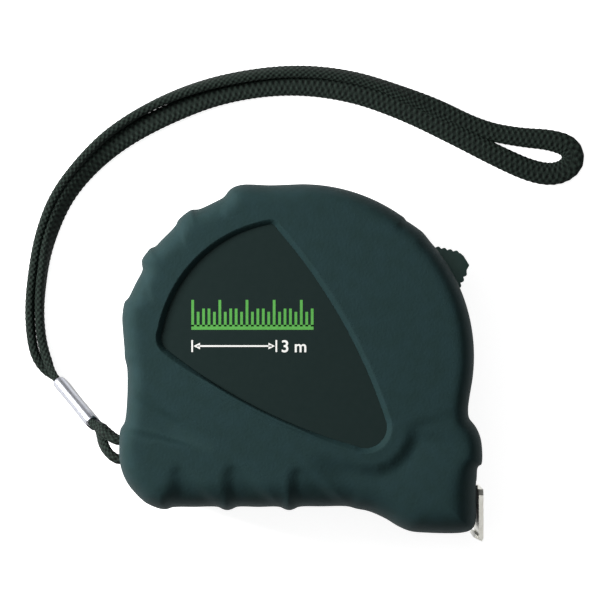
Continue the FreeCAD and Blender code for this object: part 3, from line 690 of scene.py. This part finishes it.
def cut(target, fill):
    """Cuts what fill(bm) makes out of target, for good."""
    bm = bmesh.new()
    fill(bm)
    bmesh.ops.recalc_face_normals(bm, faces=bm.faces)
    tool = piece_from("cutter", bm)
    step = target.modifiers.new("cut", "BOOLEAN")
    step.object = tool
    step.operation = "DIFFERENCE"
    step.solver = "EXACT"
    bpy.context.view_layer.update()
    evaluated = target.evaluated_get(bpy.context.evaluated_depsgraph_get())
    made = bpy.data.meshes.new_from_object(evaluated)
    target.modifiers.clear()
    made.name = target.name
    uncut, target.data = target.data, made
    cutter_mesh = tool.data
    bpy.data.objects.remove(tool)
    bpy.data.meshes.remove(cutter_mesh)
    bpy.data.meshes.remove(uncut)


LOCK_LOW, LOCK_HIGH, LOCK_HALF_W = 23.4, 53.3, 6.9  # degrees about the reel's axis, and mm
# Place of each screw and radius of the hole over it.
SCREWS = [(-24.0, 15.2, 2.6), (-24.4, -21.4, 2.6), (*NOSE_SCREW, 2.3)]


def common_openings(bm):
    """The mouth, the strap's hole and the gap of the lock button."""
    cutter_box(bm, 27.0, 37.0, -26.5, -22.0, 8.0, 26.0)
    cutter_box(bm, -38.0, -30.0, -20.5, -12.9, 13.5, 20.5)
    cutter_sector(bm, 28.5, 36.0, LOCK_LOW, LOCK_HIGH, LOCK_HALF_W)


def rear_openings(bm):
    """The same openings, and the holes over the screws."""
    common_openings(bm)
    for x, y, radius in SCREWS:
        cutter_rod(bm, x, y, -1, 5.5, radius)


cut(rubber_front, common_openings)
cut(rubber_rear, rear_openings)
for piece in (rubber_front, rubber_rear):
    piece.data.shade_smooth()
    piece.data.set_sharp_from_angle(angle=math.radians(38))
print("faces after the cuts", len(rubber_front.data.polygons), len(rubber_rear.data.polygons))

# %% [markdown]
# The moulded shells lie close under the rubber. Where a flute is deep the rim of the shell would
# show through, so copies of both shells take their place, with the rim drawn in by a millimetre.
# Nothing of them shows but their edges in the openings.

# %% Shells with the rim drawn in
edge_points = spaced(through(corners), 2400)[:-1]
edge_way = np.roll(edge_points, -1, 0) - np.roll(edge_points, 1, 0)
edge_inwards = np.stack([-edge_way[:, 1], edge_way[:, 0]], axis=1)
edge_inwards /= np.linalg.norm(edge_inwards, axis=1)[:, None]
edge_tree = tree_of(edge_points)
RIM_GAP, DRAW_IN = 1.45, 1.15  # least distance from the outline, and how far the rim moves
RIM_HIGH = 12.9  # height above the middle plane where the rim's rounding starts


def drawn_in(node):
    """A copy of a packed shell with its rim drawn in, put in the shell's place."""
    bm = bmesh.new()
    bm.from_mesh(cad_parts[node].data)
    bmesh.ops.remove_doubles(bm, verts=bm.verts, dist=mm(0.001))
    moved = 0
    for v in bm.verts:
        x, y = v.co.x * 1000, v.co.y * 1000
        _, i, _ = edge_tree.find((x, y, 0))
        inside = float((np.array([x, y]) - edge_points[i]) @ edge_inwards[i])
        over_rim = abs(v.co.z * 1000 - HALF) > RIM_HIGH
        if inside < 2.2 or (over_rim and inside < 6):
            # A point too near the outline comes in to the gap first, then in with the rest.
            shift = max(0, RIM_GAP - inside)
            depth = max(inside, RIM_GAP) - RIM_GAP
            shift += DRAW_IN * (1 - float(ease(depth / 4.4)))
            v.co.x += mm(float(edge_inwards[i][0]) * shift)
            v.co.y += mm(float(edge_inwards[i][1]) * shift)
            moved += 1
    made = piece_from(node + "_under_rubber", bm, smooth=True, sharp_above=35)
    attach(made, "case")
    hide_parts(node)
    print(made.name, "moved", moved, "of", len(made.data.vertices), "points")
    return made


shells = [drawn_in("front_shell"), drawn_in("rear_shell")]

# %% Rubber material
rubber, rubber_tree, rubber_shader = material("soft_rubber", (0.009, 0.023, 0.024), 0.78, ior=1.16)


def noise_over(tree, scale, detail):
    """The socket of a noise over the object."""
    place = tree.nodes.new("ShaderNodeTexCoord")
    noise = tree.nodes.new("ShaderNodeTexNoise")
    noise.inputs["Scale"].default_value = scale
    noise.inputs["Detail"].default_value = detail
    tree.links.new(place.outputs["Object"], noise.inputs["Vector"])
    return noise.outputs["Fac"]


def wear(piece, finish):
    """Takes off what a piece came with and puts one finish on it."""
    piece.data.materials.clear()
    piece.data.materials.append(finish)


def colour_between(tree, shader, value, low, high, start, stop):
    """Colour that goes from low to high while the value goes from start to stop."""
    ramp = tree.nodes.new("ShaderNodeValToRGB")
    for element, at, tone in zip(ramp.color_ramp.elements, (start, stop), (low, high)):
        element.position = at
        element.color = (*tone, 1)
    tree.links.new(value, ramp.inputs["Fac"])
    tree.links.new(ramp.outputs["Color"], shader.inputs["Base Color"])


def bump_from(tree, shader, value, height):
    """A bump from a value. height is in metres."""
    bump = tree.nodes.new("ShaderNodeBump")
    bump.inputs["Strength"].default_value = 1.0
    bump.inputs["Distance"].default_value = height
    tree.links.new(value, bump.inputs["Height"])
    tree.links.new(bump.outputs["Normal"], shader.inputs["Normal"])


def noise_between(tree, shader, scale, low, high):
    """Colour that drifts between two tones over the object."""
    colour_between(tree, shader, noise_over(tree, scale, 3), low, high, 0.3, 0.7)


def grain(tree, shader, scale, height):
    """A fine bump over the object. height is in metres."""
    bump_from(tree, shader, noise_over(tree, scale, 2), height)


noise_between(rubber_tree, rubber_shader, 420, (0.0098, 0.0232, 0.0232), (0.0110, 0.0258, 0.0276))
grain(rubber_tree, rubber_shader, 2100, mm(0.055))
for piece, node in ((rubber_front, "front_jacket"), (rubber_rear, "rear_jacket")):
    wear(piece, rubber)
    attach(piece, "case")
    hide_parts(node)
    print(piece.name, "wears", rubber.name)

# %% [markdown]
# ## The lock button
# The real button is a hard plastic slider that follows the dome, with a wedge on top. Its upper
# slope has ribs for pushing and its front has ribs for pulling back. A wedge like this has the
# same outline all through its width, so it is one outline extruded, with its edges bevelled. The
# ribs are half rounds in the outline itself; separate rods would leave creases at their roots.

# %% Lock button
def polar(r, deg):
    """A place in plan by its radius and angle about the reel's axis."""
    return (0.2 + r * math.cos(math.radians(deg)), 1.3 + r * math.sin(math.radians(deg)))


def ribbed(a, b, count, height):
    """Points from a to b with half-round ribs standing out on the right-hand side."""
    a, b = np.array(a, float), np.array(b, float)
    along = (b - a) / count
    out = np.array([along[1], -along[0]]) / np.linalg.norm(along)
    pts = []
    for i in range(count):
        for k in range(6):
            s = k / 6
            pts.append(tuple(a + along * (i + s) + out * height * math.sin(math.pi * s)))
    return pts


def points_in(geom):
    """The vertices a bmesh operator gave back."""
    return [g for g in geom if isinstance(g, bmesh.types.BMVert)]


def raise_outline(bm, outline, low, height):
    """A prism: an outline in mm, at height low, extruded upwards."""
    face = bm.faces.new([bm.verts.new(mm(x, y, low)) for x, y in outline])
    raised = bmesh.ops.extrude_face_region(bm, geom=[face])["geom"]
    bmesh.ops.translate(bm, vec=mm(0, 0, height), verts=points_in(raised))
    bmesh.ops.recalc_face_normals(bm, faces=bm.faces)


front_slope = ribbed((29.4, 13.9), (31.0, 17.2), 3, 0.42)
upper_slope = ribbed((29.7, 20.6), (25.2, 21.6), 4, 0.36)
BUTTON_HALF_W = 6.6
base_high = [polar(31.72, a) for a in (41, 43, 45, 46.6)]
base_low = [polar(31.0, a) for a in (47.2, 44, 41, 38, 35, 32, 29, 26, 24.2)]
crest = [(31.1, 17.4), (31.6, 18.3), (30.5, 20.1), (29.9, 20.6)]
button_line = front_slope + crest + upper_slope + [(25.0, 21.4)] + base_high + base_low
bm = bmesh.new()
raise_outline(bm, button_line, HALF - BUTTON_HALF_W, 2 * BUTTON_HALF_W)
flat_ends = [f for f in bm.faces if abs(f.normal.z) > 0.9]
rims = list({e for f in flat_ends for e in f.edges})
bmesh.ops.bevel(bm, geom=rims, offset=mm(0.22), offset_type="OFFSET", segments=3, profile=0.5,
                affect="EDGES", material=-1, clamp_overlap=True)
bmesh.ops.recalc_face_normals(bm, faces=bm.faces)
button = piece_from("lock_button_ribbed", bm, smooth=True, sharp_above=50)
hard_black, tree, shader = material("hard_black_plastic", (0.006, 0.010, 0.011), 0.42, specular=0.3)
noise_between(tree, shader, 700, (0.005, 0.009, 0.010), (0.008, 0.013, 0.014))
grain(tree, shader, 3800, mm(0.012))
# The button's own dark green plastic is painted several times lighter here, as painted light
# against the shade that the case casts on it.
button_tone_and_painted_light, tree, shader = material("button_plastic_and_painted_light", (0.010, 0.022, 0.020), 0.5, ior=1.25)
noise_between(tree, shader, 700, (0.0400, 0.0800, 0.0700), (0.0450, 0.0870, 0.0780))
grain(tree, shader, 3800, mm(0.012))
wear(button, button_tone_and_painted_light)
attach(button, "lock")
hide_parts("lock_button")
print("button", len(button.data.polygons), "faces")

# %% [markdown]
# ## Label print
# The label is a dark film in the sunk leaf. The print on it is generic here: a green scale of
# ticks, and in white a dimension arrow with the tape's length. Print could be painted by a
# material, but shapes with crisp ends are simpler as very thin pieces, so bars are flat cubes
# and the length is a text object turned into a mesh.

# %% Label print
LABEL_TOP, INK = 33.0, 0.03  # the film's face and the thickness of the ink on it, in mm


def bar(bm, x0, y0, x1, y1):
    """A bar of ink between these limits in mm."""
    made = bmesh.ops.create_cube(bm, size=1)["verts"]
    bmesh.ops.scale(bm, vec=mm(x1 - x0, y1 - y0, INK), verts=made)
    bmesh.ops.translate(bm, vec=mm((x0 + x1) / 2, (y0 + y1) / 2, LABEL_TOP + INK / 2), verts=made)


def flat_piece(name, bm, finish):
    """One part of the print, in one ink."""
    made = piece_from(name, bm)
    wear(made, finish)
    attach(made, "case")


green_ink, tree, shader = material("green_ink", (0.060, 0.245, 0.045), 0.5, specular=0.2)
noise_between(tree, shader, 1500, (0.055, 0.235, 0.040), (0.068, 0.262, 0.050))
white_ink, tree, shader = material("white_ink", (0.60, 0.60, 0.58), 0.5, specular=0.2)
noise_between(tree, shader, 1500, (0.57, 0.57, 0.55), (0.63, 0.63, 0.61))
scale_bm = bmesh.new()
PRINT_LEFT, TICKS_LOW, TICK_W, TICKS = -20.2, 6.9, 0.5, 23
TICK_HEIGHTS = (4.9, 2.7, 3.3, 3.3, 2.7)
for i in range(TICKS):
    x = PRINT_LEFT + i
    bar(scale_bm, x, TICKS_LOW, x + TICK_W, TICKS_LOW + TICK_HEIGHTS[i % 5])
bar(scale_bm, PRINT_LEFT, 6.3, 2.3, 7.2)
flat_piece("label_scale_green", scale_bm, green_ink)

arrow_bm = bmesh.new()
bar(arrow_bm, PRINT_LEFT, 2.2, -19.9, 4.4)
bar(arrow_bm, -19.2, 3.15, -5.4, 3.45)
bar(arrow_bm, -4.7, 2.2, -4.4, 4.4)
for tip_x, way in ((-19.8, 1), (-4.8, -1)):
    tip = [(tip_x, 3.3), (tip_x + way * 1.2, 3.9), (tip_x + way * 1.2, 2.7)][::way]
    raise_outline(arrow_bm, tip, LABEL_TOP, INK)
flat_piece("label_arrow_white", arrow_bm, white_ink)

letters = bpy.data.curves.new("length_text", "FONT")
letters.body = "3 m"
letters.size = mm(3.1)
letters.offset = mm(0.045)
letters.extrude = mm(INK / 2)
letters.resolution_u = 6
holder = bpy.data.objects.new("length_text", letters)
text_mesh = bpy.data.meshes.new_from_object(holder)
bpy.data.objects.remove(holder)
text_bm = bmesh.new()
text_bm.from_mesh(text_mesh)
bmesh.ops.remove_doubles(text_bm, verts=text_bm.verts, dist=mm(0.001))
bmesh.ops.translate(text_bm, vec=mm(-3.7, 2.2, LABEL_TOP + INK / 2), verts=text_bm.verts)
flat_piece("label_length_white", text_bm, white_ink)
print("printed", TICKS, "ticks, an arrow and", letters.body)

# %% [markdown]
# ## The blade
# A tape's blade is painted spring steel, curved across so that it stays straight when pulled
# out. Inside the case it is one strip from the coil to the hook. When the hook is pulled, that
# strip really comes off the coil. Here the strip between the coil and the mouth is one fixed
# piece, flat at the coil and bowed across at the mouth. The scale is in the paint, by distance
# along the blade.

# %% Blade paint
CREAM = (0.60, 0.56, 0.40)
BLADE_HALF_W = 8
paint, tree, shader = material("blade_paint", CREAM, 0.34, specular=0.45)
place = tree.nodes.new("ShaderNodeTexCoord")
split = tree.nodes.new("ShaderNodeSeparateXYZ")
tree.links.new(place.outputs["Object"], split.inputs["Vector"])


def calc(kind, a, b=None):
    """A maths node on two inputs, each a socket or a number."""
    node = tree.nodes.new("ShaderNodeMath")
    node.operation = kind
    for socket, value in zip(node.inputs, (a, b)):
        if value is None:
            continue
        if isinstance(value, (int, float)):
            socket.default_value = value
        else:
            tree.links.new(value, socket)
    return node.outputs[0]


ZERO_X = 33.3  # the hook's inner face, where the scale starts


def ticks(step, width, reach):
    """1 on the ticks of one spacing (mm) that reach in from either edge of the blade."""
    x = calc("ADD", split.outputs["X"], mm(-ZERO_X))
    phase = calc("PINGPONG", x, mm(step / 2))
    on_line = calc("LESS_THAN", phase, mm(width / 2))
    off_middle = calc("ABSOLUTE", calc("ADD", split.outputs["Z"], mm(-HALF)))
    near_edge = calc("GREATER_THAN", off_middle, mm(BLADE_HALF_W - reach))
    return calc("MULTIPLY", on_line, near_edge)


fine_ticks = calc("MAXIMUM", ticks(1, 0.16, 2.2), ticks(5, 0.2, 3.4))
all_ticks = calc("MAXIMUM", fine_ticks, ticks(10, 0.26, 6.0))
mix = tree.nodes.new("ShaderNodeMix")
mix.data_type = "RGBA"
mix.inputs["A"].default_value = (*CREAM, 1)
mix.inputs["B"].default_value = (0.012, 0.012, 0.012, 1)
tree.links.new(all_ticks, mix.inputs["Factor"])
tree.links.new(mix.outputs["Result"], shader.inputs["Base Color"])
grain(tree, shader, 1800, mm(0.004))
print("the scale starts at x", ZERO_X, "mm")

# %% Blade strip
LEAD_FROM, LEAD_TO = 0.2, 23.6
COIL_SIDE_Y, MOUTH_SIDE_Y = -24.08, -24.88
STRIP_HALF_W, SECTION_R = 7.98, 17.0
bm = bmesh.new()
ACROSS, ALONG = 16, 96
bmesh.ops.create_grid(bm, x_segments=ALONG, y_segments=ACROSS, size=1)
for v in bm.verts:
    s = (v.co.x + 1) / 2
    z = v.co.y * STRIP_HALF_W
    # Flat at the coil, and bowed across by the time it reaches the mouth.
    bow = SECTION_R - math.sqrt(SECTION_R**2 - z * z)
    e = s * s * (3 - 2 * s)
    y = COIL_SIDE_Y + (MOUTH_SIDE_Y - COIL_SIDE_Y) * e + bow * e
    v.co = mm(LEAD_FROM + (LEAD_TO - LEAD_FROM) * s, y, HALF + z)
bmesh.ops.recalc_face_normals(bm, faces=bm.faces)
bmesh.ops.solidify(bm, geom=list(bm.faces), thickness=mm(0.22))
bmesh.ops.recalc_face_normals(bm, faces=bm.faces)
strip = piece_from("blade_strip", bm, smooth=True, sharp_above=40)
wear(strip, paint)
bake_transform(strip)
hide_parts("blade_lead")
ys = [v.co.y * 1000 for v in strip.data.vertices]
print("strip from y", round(min(ys), 2), "to", round(max(ys), 2), "mm")

# %% [markdown]
# ## The crimped tube
# A thin aluminium tube is slid over both strands and pressed flat. It has rolled edges and a
# slight waist where the tool squeezed it. It is one ring, extruded along the tube's axis and
# scaled a little at each step, then turned inwards at both ends so that it looks hollow.

# %% Crimped tube
crimp_from = Vector(mm(-39.73, -12.0, 11.56))
crimp_way = Vector((-0.5650, 0.6130, -0.5489)).normalized()
crimp_side = crimp_way.cross(Vector((0, 0, 1))).normalized()
crimp_up = crimp_side.cross(crimp_way).normalized()
# Rings of the tube: (mm along the axis, size of the section).
CRIMP_STEPS = [
    (0.5, 0.80), (0.12, 0.86), (0.0, 0.93), (0.1, 1.0), (0.45, 1.02), (2.2, 1.02), (4.0, 0.99),
    (6.6, 0.975), (8.8, 0.99), (10.4, 1.02), (11.9, 1.02), (12.25, 1.0), (12.35, 0.93),
    (12.23, 0.86), (11.85, 0.80),
]
CRIMP_HALF_W, FLAT_HALF, CRIMP_ROUND = 1.24, 0.95, 1.25
bm = bmesh.new()
ring = bmesh.ops.create_circle(bm, cap_ends=False, segments=48, radius=1)["verts"]
shape = [(v.co.x, v.co.y) for v in ring]


def crimp_ring(verts, at, size):
    """Puts a ring's points on the pressed section: two flat sides with round ends."""
    for v, (cx, cy) in zip(verts, shape):
        wide = CRIMP_HALF_W * cx * size
        high = FLAT_HALF * math.copysign(1, cy) * min(1, abs(cy) * 4) + CRIMP_ROUND * cy * size
        v.co = crimp_from + crimp_way * mm(at) + crimp_side * mm(wide) + crimp_up * mm(high)


crimp_ring(ring, *CRIMP_STEPS[0])
loop_edges = list(bm.edges)
loop_verts = ring
for at, size in CRIMP_STEPS[1:]:
    geom = bmesh.ops.extrude_edge_only(bm, edges=loop_edges)["geom"]
    loop_edges = [g for g in geom if isinstance(g, bmesh.types.BMEdge)]
    paired = {}
    for v in points_in(geom):
        for e in v.link_edges:
            other = e.other_vert(v)
            if other in loop_verts:
                paired[other] = v
    loop_verts = [paired[v] for v in loop_verts]
    crimp_ring(loop_verts, at, size)
bmesh.ops.holes_fill(bm, edges=[e for e in bm.edges if e.is_boundary], sides=60)
bmesh.ops.recalc_face_normals(bm, faces=bm.faces)
crimp = piece_from("crimp_tube", bm, smooth=True, sharp_above=60)
bright_metal, tree, shader = material("bright_aluminium", (0.42, 0.43, 0.47), 0.36, metallic=1.0)
noise_between(tree, shader, 900, (0.40, 0.41, 0.46), (0.46, 0.47, 0.50))
grain(tree, shader, 1600, mm(0.006))
shader.inputs["Specular Tint"].default_value = (0.42, 0.41, 0.38, 1)
wear(crimp, bright_metal)
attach(crimp, "case")
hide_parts("strap_crimp")
print("crimp", len(crimp.data.polygons), "faces")

# %% [markdown]
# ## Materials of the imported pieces
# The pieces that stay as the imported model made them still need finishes: the shells' moulded
# plastic, the reel's white acetal, bright and blued steels, and the label's film. Each is one
# simple shader with a slow drift of colour and a fine grain, because no real surface is even.

# %% Finishes
# Two tones, roughness, metallic, scales of the drift and of the grain, grain height in mm, IOR.
FINISH_TABLE = {
    "moulded_shell": ((0.010, 0.015, 0.016), (0.014, 0.020, 0.022), 0.45, 0, 300, 3000, 0.01, 1.45),
    "label_film": ((0.0088, 0.0156, 0.0148), (0.0096, 0.0166, 0.0158), 0.75, 0, 900, 4200, 0.004,
                   1.08),
    "white_acetal": ((0.62, 0.62, 0.58), (0.68, 0.68, 0.64), 0.4, 0, 200, 1500, 0.01, 1.45),
    "bright_steel": ((0.52, 0.52, 0.50), (0.62, 0.62, 0.60), 0.3, 1, 500, 1700, 0.008, 1.45),
    "blued_steel": ((0.10, 0.11, 0.14), (0.15, 0.15, 0.17), 0.35, 1, 400, 2200, 0.006, 1.45),
    "nickel_steel": ((0.88, 0.87, 0.79), (0.94, 0.93, 0.86), 0.36, 1, 700, 2100, 0.01, 1.45),
    "felt_pad": ((0.10, 0.06, 0.03), (0.16, 0.10, 0.05), 0.9, 0, 900, 2600, 0.05, 1.45),
}


def finish(name, low, high, roughness, metallic, drift, fine, height, ior):
    """A material from one row of the table."""
    made, tree, shader = material(name, low, roughness, metallic, ior=ior)
    noise_between(tree, shader, drift, low, high)
    grain(tree, shader, fine, mm(height))
    return made


FINISHES = {name: finish(name, *row) for name, row in FINISH_TABLE.items()}
FINISHES["hard_black"] = hard_black
FINISHES["blade_paint"] = paint
WEARS = {
    "blade_guide": "hard_black",
    "front_label": "label_film", "rear_label": "label_film", "case_screws": "bright_steel",
    "arbor": "white_acetal", "reel_drum": "white_acetal", "reel_lid": "white_acetal",
    "blade_coil": "blade_paint", "blade_tip": "blade_paint", "mainspring": "blued_steel",
    "spring_anchor": "bright_steel", "hook_rivets": "bright_steel", "end_hook": "nickel_steel",
    "lock_arm": "hard_black", "brake_pad": "felt_pad", "detent_spring": "blued_steel",
    "strap_pin": "bright_steel",
}
for node, kind in WEARS.items():
    wear(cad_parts[node], FINISHES[kind])
for piece in shells:
    wear(piece, FINISHES["moulded_shell"])
print("finished", len(WEARS), "packed pieces and the shells")

# %% Braid material
# The weave follows the UVs: U runs along in millimetres, V once round. Two sets of slanted
# yarns cross, and each yarn catches light on its crown through the bump. The colour paints it as
# well: a painted highlight on each crown and painted shade between the yarns, with a random tone.
braid_black, tree, shader = material("black_braid", (0.012, 0.017, 0.016), 0.8, ior=1.2)
uv = tree.nodes.new("ShaderNodeUVMap")
split = tree.nodes.new("ShaderNodeSeparateXYZ")
tree.links.new(uv.outputs["UV"], split.inputs["Vector"])


def yarn(sign):
    """Height of the yarns of one slant, from -1 to 1."""
    lengthwise = calc("MULTIPLY", split.outputs["X"], 2 * math.pi / YARN_LENGTH)
    roundwise = calc("MULTIPLY", split.outputs["Y"], sign * 2 * math.pi * YARNS)
    return calc("SINE", calc("ADD", lengthwise, roundwise))


crossing = calc("ADD", yarn(1), yarn(-1))
# lit is a painted highlight on the yarn crowns and painted shade between them, plus a random tone.
lit = calc("ADD", calc("MULTIPLY", crossing, 0.22), noise_over(tree, 2600, 3))
colour_between(tree, shader, lit, (0.0011, 0.0019, 0.0015), (0.0145, 0.0235, 0.0185), 0.05, 1.0)
bump_from(tree, shader, lit, mm(0.12))
for piece in (strap_loop, strap_tail):
    wear(piece, braid_black)
    print(piece.name, "wears", braid_black.name)
